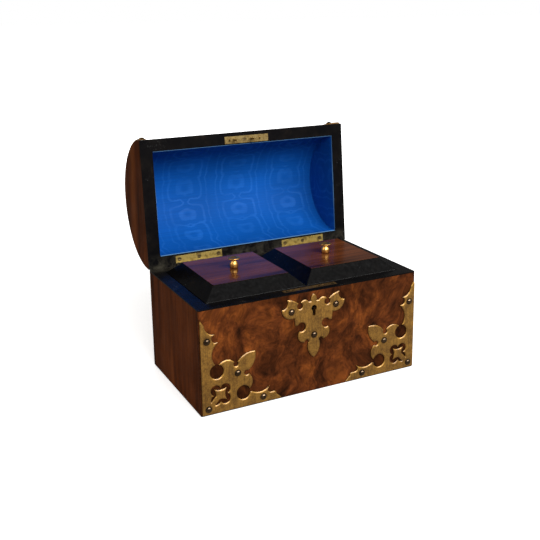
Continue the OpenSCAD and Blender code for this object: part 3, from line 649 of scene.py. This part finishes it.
def softened(node, name, material, width, body, segments=2, only=None):
    """A finished copy of a CAD node with its sharp edges rounded over, which stands for it.

    Where only is given, it says of each sharp edge whether to round it.
    """
    shape = welded(node)
    bmesh.ops.dissolve_limit(
        shape, angle_limit=math.radians(0.6), verts=shape.verts, edges=shape.edges)
    sharp = [e for e in shape.edges if len(e.link_faces) == 2 and e.calc_face_angle(0) > SHARP]
    if only:
        sharp = [e for e in sharp if only(e)]
    bmesh.ops.bevel(
        shape, geom=sharp, offset=width, offset_type="OFFSET", segments=segments, profile=0.5,
        affect="EDGES", clamp_overlap=True, miter_outer="ARC")
    mesh = bpy.data.meshes.new(name)
    shape.to_mesh(mesh)
    shape.free()
    hard_piece(mesh, 40, material, body, node)


def off_hinge_line(edge):
    """Leaves the edges along the hinge line crisp, so that the rims meet there without a gap."""
    return any((v.co.yz - HINGE.yz).length > 1.5 * MM for v in edge.verts)


def on_strap_face(edge):
    """Edges of the outer face of a strap, which follows the barrel."""
    return all((v.co.yz - BARREL_AXIS.yz).length > BARREL_R + MOUNT_T - 0.1 * MM for v in edge.verts)


softened("front_veneer", "FrontVeneer", burr, 0.25 * MM, "body")
softened("back_veneer", "BackVeneer", burr_back, 0.25 * MM, "body")
softened("left_veneer", "LeftVeneer", straight, 0.2 * MM, "body")
softened("right_veneer", "RightVeneer", straight, 0.2 * MM, "body")
softened("rim_edging", "RimEdging", rim_ebony, 0.25 * MM, "body", only=off_hinge_line)
softened("lid_edging", "LidEdging", lid_ebony, 0.25 * MM, "barrel_lid", only=off_hinge_line)
softened("lid_barrel_veneer", "BarrelVeneer", burr_lid, 0.2 * MM, "barrel_lid")
softened("lid_left_veneer", "LidLeftVeneer", straight_lid, 0.3 * MM, "barrel_lid")
softened("lid_right_veneer", "LidRightVeneer", straight_lid, 0.3 * MM, "barrel_lid")
for side in ("left", "right"):
    title = side.capitalize()
    lid = side + "_tea_lid"
    softened("lid_" + side + "_strap", "Lid" + title + "Strap", mount_brass, 0.7 * MM,
             "barrel_lid", segments=3, only=on_strap_face)
    softened(side + "_tea_bevel", title + "TeaBevel", tea_ebony, 0.25 * MM, lid)
    softened(side + "_tea_panel", title + "TeaPanel", panel_wood, 0.15 * MM, lid)
    softened(side + "_knob", title + "Knob", knob_brass, 0.1 * MM, lid)
softened("body_pins", "BodyPins", pin_brass, 0.1 * MM, "body")
softened("lid_pins", "LidPins", pin_brass, 0.1 * MM, "barrel_lid")
softened("lock_selvedge", "LockSelvedge", selvedge_shade_brass, 0.12 * MM, "body")
softened("lock_screws", "LockScrews", screw_brass, 0.25 * MM, "body")
softened("link_plate", "LinkPlate", link_brass, 0.15 * MM, "barrel_lid")
softened("link_screw", "LinkScrew", screw_brass, 0.25 * MM, "barrel_lid")
softened("body_hinge_leaves", "BodyHingeLeaves", leaf_brass, 0.15 * MM, "body")
softened("lid_hinge_leaves", "LidHingeLeaves", leaf_brass, 0.15 * MM, "barrel_lid")
softened("body_hinge_screws", "BodyHingeScrews", screw_brass, 0.25 * MM, "body")
softened("lid_hinge_screws", "LidHingeScrews", screw_brass, 0.25 * MM, "barrel_lid")


# ---------- front plates, rebuilt with rounded edges ----------

def shaped(a, b):
    """Whether a run of the outline, of points (x, z), is part of a plate's shaped edge.

    The edges at the box's corner and foot and round the keyhole aren't.
    """
    corner = min(abs(a.x), abs(b.x)) > PLATE_CORNER
    foot = max(a.y, b.y) < PLATE_FOOT
    keyhole = abs(a.x) < KEYHOLE_HALF and KEYHOLE_LOW < a.y < KEYHOLE_HIGH
    return not corner and not foot and not keyhole


def spot_key(point):
    """The same whole numbers for points that are the same to a micrometre."""
    return tuple(round(v / (0.001 * MM)) for v in point)


def front_runs(plate):
    """The front outline of a flat plate as short runs of (x, z), with the plate on their left."""
    longest = 0.7 * MM
    halfway = -BARREL_R - MOUNT_T / 2
    facing = [f for f in plate.faces if f.normal.y < -0.9 and f.calc_center_median().y < halfway]
    front = set(facing)
    runs = []
    for face in facing:
        for loop in face.loops:
            if all(f in front for f in loop.edge.link_faces):
                continue
            a, b = loop.vert.co.xz, loop.link_loop_next.vert.co.xz
            count = math.ceil((b - a).length / longest)
            stops = [a.lerp(b, i / count) for i in range(count + 1)]
            runs += zip(stops, stops[1:])
    return runs


def walls_of(runs):
    """Upright walls along the shaped runs, for measuring how far a point is from them."""
    corners, quads = [], []
    for a, b in runs:
        if shaped(a, b):
            first = len(corners)
            corners += [(a.x, -1, a.y), (b.x, -1, b.y), (b.x, 1, b.y), (a.x, 1, a.y)]
            quads.append((first, first + 1, first + 2, first + 3))
    return BVHTree.FromPolygons(corners, quads)


def from_walls(walls, point):
    """How far a point (x, z) is from the nearest wall."""
    return walls.find_nearest((point.x, 0, point.y))[3]


def inner_points(runs, walls):
    """Points just inside the shaped edge, in rows that follow it and fan out round its corners."""
    rows = (0.12, 0.32, 0.56, 0.8, 1.0)
    leaving = {spot_key(a): b - a for a, b in runs}
    points = []
    for a, b in runs:
        if not shaped(a, b):
            continue
        inward = Vector((a.y - b.y, b.x - a.x)).normalized()
        spots = [((a + b) / 2, inward)]
        turn = (b - a).angle_signed(leaving.get(spot_key(b), b - a))
        if turn > 0.05:
            fan = math.ceil(turn / math.radians(18))
            spots += [(b, Matrix.Rotation(-turn * k / fan, 2) @ inward) for k in range(fan + 1)]
        for start, way in spots:
            for share in rows:
                p = start + way * share * FALL_RUN
                if from_walls(walls, p) > 0.97 * share * FALL_RUN:
                    points.append(p)
    return points


def rounded_plate(node, name):
    """A flat plate whose shaped edges fall away towards the wood, as its pressed brass does."""
    plate = welded(node)
    solid = BVHTree.FromBMesh(plate)
    runs = front_runs(plate)
    plate.free()
    walls = walls_of(runs)
    rim = {}
    for a, _ in runs:
        rim.setdefault(spot_key(a), (len(rim), a))
    edges = [tuple(rim[spot_key(end)][0] for end in run) for run in runs]
    points = [a for _, a in rim.values()] + inner_points(runs, walls)
    spots, _, triangles, _, _, _ = delaunay_2d_cdt(points, edges, [], 0, 0.0001 * MM)
    kept = []
    for a, b, c in triangles:
        middle = (spots[a] + spots[b] + spots[c]) / 3
        ahead = (middle.x, -BARREL_R - 2 * MOUNT_T, middle.y)
        if solid.ray_cast(ahead, (0, 1, 0), 1.5 * MOUNT_T)[0] is None:
            continue
        kept.append((a, b, c) if (spots[b] - spots[a]).cross(spots[c] - spots[a]) > 0 else (a, c, b))
    front, back = [], []
    for p in spots:
        fall = FALL * max(0.0, 1 - from_walls(walls, p) / FALL_RUN) ** 1.3
        front.append((p.x, -BARREL_R - MOUNT_T + fall, p.y))
        back.append((p.x, -BARREL_R, p.y))
    count = len(front)
    sides = {pair for a, b, c in kept for pair in ((a, b), (b, c), (c, a))}
    faces = kept + [(c + count, b + count, a + count) for a, b, c in kept]
    faces += [(a, a + count, b + count, b) for a, b in sorted(sides) if (b, a) not in sides]
    mesh = bpy.data.meshes.new(name)
    mesh.from_pydata(front + back, [], faces)
    hard_piece(mesh, 30, mount_brass, "body", node)


rounded_plate("left_corner_mount", "LeftCornerMount")
rounded_plate("right_corner_mount", "RightCornerMount")
rounded_plate("escutcheon", "Escutcheon")


# ---------- silk lining of the lid ----------

def grid_piece(name, rows, uvs, material, body, nodes=()):
    """A smooth sheet through rows of points, with its UV map in metres."""
    width = len(rows[0])
    points = [p for row in rows for p in row]
    flat = [q for row in uvs for q in row]
    faces = [
        (r * width + c, r * width + c + 1, (r + 1) * width + c + 1, (r + 1) * width + c)
        for r in range(len(rows) - 1) for c in range(width - 1)
    ]
    mesh = bpy.data.meshes.new(name)
    mesh.from_pydata(points, [], faces)
    layer = mesh.uv_layers.new(name="UVMap")
    for loop in mesh.loops:
        layer.data[loop.index].uv = flat[loop.vertex_index]
    mesh.shade_smooth()
    return piece(mesh, material, body, nodes)


def turned_edge(distance, radius):
    """How far a padded edge has sunk, at a distance in from its rim."""
    if distance >= radius:
        return 0.0
    return radius - math.sqrt(max(0.0, radius * radius - (radius - distance) ** 2))


def spaced(low, high, step, margin, fine):
    """Positions from low to high, with a margin at each end split into a few fine steps."""
    ends = [low + margin * i / fine for i in range(fine)]
    count = max(2, round((high - low - 2 * margin) / step))
    middle = [low + margin + (high - low - 2 * margin) * i / count for i in range(count + 1)]
    return ends + middle + [high - e + low for e in reversed(ends)]


def barrel_silk():
    """The lining of the barrel: a half pipe of silk, turned over at both rims of the lid."""
    half = HOLLOW_HALF - END_LINING
    pad = 0.6 * MM
    rows, uvs = [], []
    for s in spaced(0, SILK_ARC, 2.0 * MM, pad, 5):
        angle = s / SILK_ARC * math.pi
        sink = turned_edge(min(s, SILK_ARC - s), pad)
        row, uv = [], []
        for x in spaced(-half, half, 2.0 * MM, 0.3 * MM, 2):
            r = STAVE_R - LINING + min(sink, LINING - 0.05 * MM)
            if sink == 0:
                r += min(0, 0.12 * MM * noise.noise(Vector((x * 40, s * 40, 3.1))))
            p = Vector((x, -r * math.cos(angle), RIM_SHUT + r * math.sin(angle)))
            row.append(OPENED @ p)
            uv.append((x + half, s))
        rows.append(row)
        uvs.append(uv)
    made = grid_piece(
        "LidBarrelSilk", rows, uvs, barrel_blue, "barrel_lid", ("lid_barrel_silk",))


def end_silk(side):
    """The lining of one end of the lid: a half disc, in spokes from the middle of its rim.

    The shift gives it another part of the figure than the barrel's.
    """
    radius = STAVE_R - 0.02 * MM
    figure_shift = 300 * MM
    spokes = 64
    rings = 26
    rows, uvs = [], []
    for k in range(spokes + 1):
        angle = math.pi * k / spokes
        row, uv = [], []
        for ring in range(rings + 1):
            r = radius * (1 - (1 - ring / rings) ** 1.3)
            y, z = r * math.cos(angle), r * math.sin(angle)
            sink = turned_edge(z, 0.5 * MM)
            puff = 0.1 * MM * noise.noise(Vector((y * 40, z * 40, side * 5.0)))
            x = HOLLOW_HALF - END_LINING + min(sink, END_LINING - 0.05 * MM) + max(0, puff)
            row.append(OPENED @ Vector((side * x, y, RIM_SHUT + z)))
            uv.append((y + figure_shift, z))
        rows.append(row if side > 0 else row[::-1])
        uvs.append(uv if side > 0 else uv[::-1])
    name = "right" if side > 0 else "left"
    made = grid_piece(
        "Lid" + name.capitalize() + "Silk", rows, uvs, end_blue, "barrel_lid",
        ("lid_" + name + "_silk",))


barrel_silk()
end_silk(-1)
end_silk(1)


# ---------- baize under the base ----------

def base_baize():
    """The baize, face down, with its cut edges rounded."""
    low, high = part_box("base_baize")
    rows, uvs = [], []
    for y in spaced(low.y, high.y, 3.0 * MM, 0.6 * MM, 3):
        row, uv = [], []
        for x in spaced(low.x, high.x, 3.0 * MM, 0.6 * MM, 3):
            rim = min(x - low.x, high.x - x, y - low.y, high.y - y)
            sink = turned_edge(rim, 0.5 * MM)
            row.append(Vector((x, y, low.z + sink)))
            uv.append((x, y))
        rows.append(row[::-1])
        uvs.append(uv[::-1])
    made = grid_piece("BaseBaize", rows, uvs, baize, "body", ("base_baize",))


base_baize()


# ---------- dust and painted shade along the hinge line ---

def hinge_dust_and_shade(name, start, end):
    """A low bead of old dust and wax on the rim, in the angle that the open lid makes with it; its dark
    fill also closes the gap at the hinge line, painted shade where light would show through.
    """
    top = RIM_SHUT - 0.012 * MM
    foot = RIM_TOP - 0.05 * MM
    rows = [[] for _ in range(5)]
    uvs = [[] for _ in range(5)]
    count = round((end - start) / MM)
    for i in range(count + 1):
        x = start + (end - start) * i / count
        width = (0.9 + 0.5 * noise.noise(Vector((x * 260, 2.7, 0)))) * MM
        profile = (
            (HINGE.y - width, foot),
            (HINGE.y - width * 0.5, top - 0.03 * MM),
            (HINGE.y - 0.12 * MM, top),
            (HINGE.y - 0.02 * MM, top),
            (HINGE.y - 0.01 * MM, foot),
        )
        for row, uv, (y, z) in zip(rows, uvs, profile):
            row.append(Vector((x, y, z)))
            uv.append((x, y))
    # Dust, and painted shade that closes the hinge gap
    grid_piece(name, rows, uvs, dust, "body")


# On the rim outside and between the hinges
hinge_dust_and_shade("LeftRimDustAndShade", -114.4 * MM, -86.5 * MM)
hinge_dust_and_shade("MiddleRimDustAndShade", -34.9 * MM, 34.9 * MM)
hinge_dust_and_shade("RightRimDustAndShade", 86.5 * MM, 114.4 * MM)


# ---------- floor, light and camera ----------

def floor():
    """A pale floor, which the camera sees run into white with distance, like a studio sweep.

    What it throws back on the object is dimmer.
    """
    shape = bmesh.new()
    bmesh.ops.create_grid(shape, x_segments=8, y_segments=8, size=30)
    mesh = bpy.data.meshes.new("Floor")
    shape.to_mesh(mesh)
    shape.free()
    s = Shader("PaleFloor")
    at = s.place()
    mottle = s.span(s.noise(at, 6, 3), 0.3, 0.7)
    pale = s.mix(mottle, (0.86, 0.86, 0.855), (0.88, 0.88, 0.875))
    seen = s.node("LightPath").outputs["Is Camera Ray"]
    reach = s.node("VectorMath", {0: at}, operation="LENGTH").outputs["Value"]
    sweep = s.span(reach, 0.16, 0.7, 0.55, 1.0, smooth=True)
    s.set(
        Base_Color=s.mix(seen, (0.27, 0.245, 0.22), pale),
        Roughness=0.85,
        Specular_IOR_Level=0.1,
        Emission_Color=(1.0, 1.0, 1.0),
        Emission_Strength=s.product(seen, sweep),
    )
    s.material.cycles.emission_sampling = "NONE"
    mesh.materials.append(s.material)
    made = bpy.data.objects.new("Floor", mesh)
    bpy.context.scene.collection.objects.link(made)


def softbox(name, place, aim, size, watts, colour=(1, 1, 1)):
    """A rectangular light that points from its place to what it is aimed at."""
    light = bpy.data.lights.new(name, "AREA")
    light.shape = "RECTANGLE"
    light.size, light.size_y = size
    light.energy = watts
    light.color = colour
    made = bpy.data.objects.new(name, light)
    made.location = place
    made.rotation_euler = (Vector(aim) - Vector(place)).to_track_quat("-Z", "Y").to_euler()
    bpy.context.scene.collection.objects.link(made)


def studio():
    """A world that is white to the camera and much dimmer as a light, and three softboxes."""
    world = bpy.data.worlds.new("Studio")
    world.use_nodes = True
    tree = world.node_tree
    background = tree.nodes["Background"]
    seen = tree.nodes.new("ShaderNodeLightPath").outputs["Is Camera Ray"]
    tone = tree.nodes.new("ShaderNodeMapRange")
    tone.inputs["To Min"].default_value = 0.12
    tone.inputs["To Max"].default_value = 1.0
    tree.links.new(seen, tone.inputs["Value"])
    tree.links.new(tone.outputs["Result"], background.inputs["Strength"])
    background.inputs["Color"].default_value = (1.0, 1.0, 1.0, 1)
    bpy.context.scene.world = world
    softbox("Key", (0.30, -1.45, 1.20), (0, 0, 0.08), (2.3, 0.8), 60)
    softbox("Back", (0.35, 1.7, 0.7), (0, 0, 0.12), (0.8, 0.8), 12)
    softbox("Left", (-1.7, 0.2, 1.0), (0, 0, 0.1), (1.0, 0.8), 8, (1.0, 0.88, 0.76))


def camera():
    """The camera fitted to nine corners of the box and lid in the photo."""
    azimuth, elevation, roll = (math.radians(a) for a in (-26.398, 14.049, -0.842))
    data = bpy.data.cameras.new("Camera")
    data.sensor_width = 36
    data.lens = 54.28
    data.shift_y = -0.1
    data.clip_start = 0.01
    data.clip_end = 60
    made = bpy.data.objects.new("Camera", data)
    place = Matrix.Translation((-0.35257, -0.68752, 0.3512))
    turn = Matrix.Rotation(azimuth, 4, "Z") @ Matrix.Rotation(math.pi / 2 - elevation, 4, "X")
    made.matrix_world = place @ turn @ Matrix.Rotation(roll, 4, "Z")
    bpy.context.scene.collection.objects.link(made)
    bpy.context.scene.camera = made


floor()
studio()
camera()
bpy.context.scene.view_settings.view_transform = "Standard"
bpy.context.scene.view_settings.look = "None"
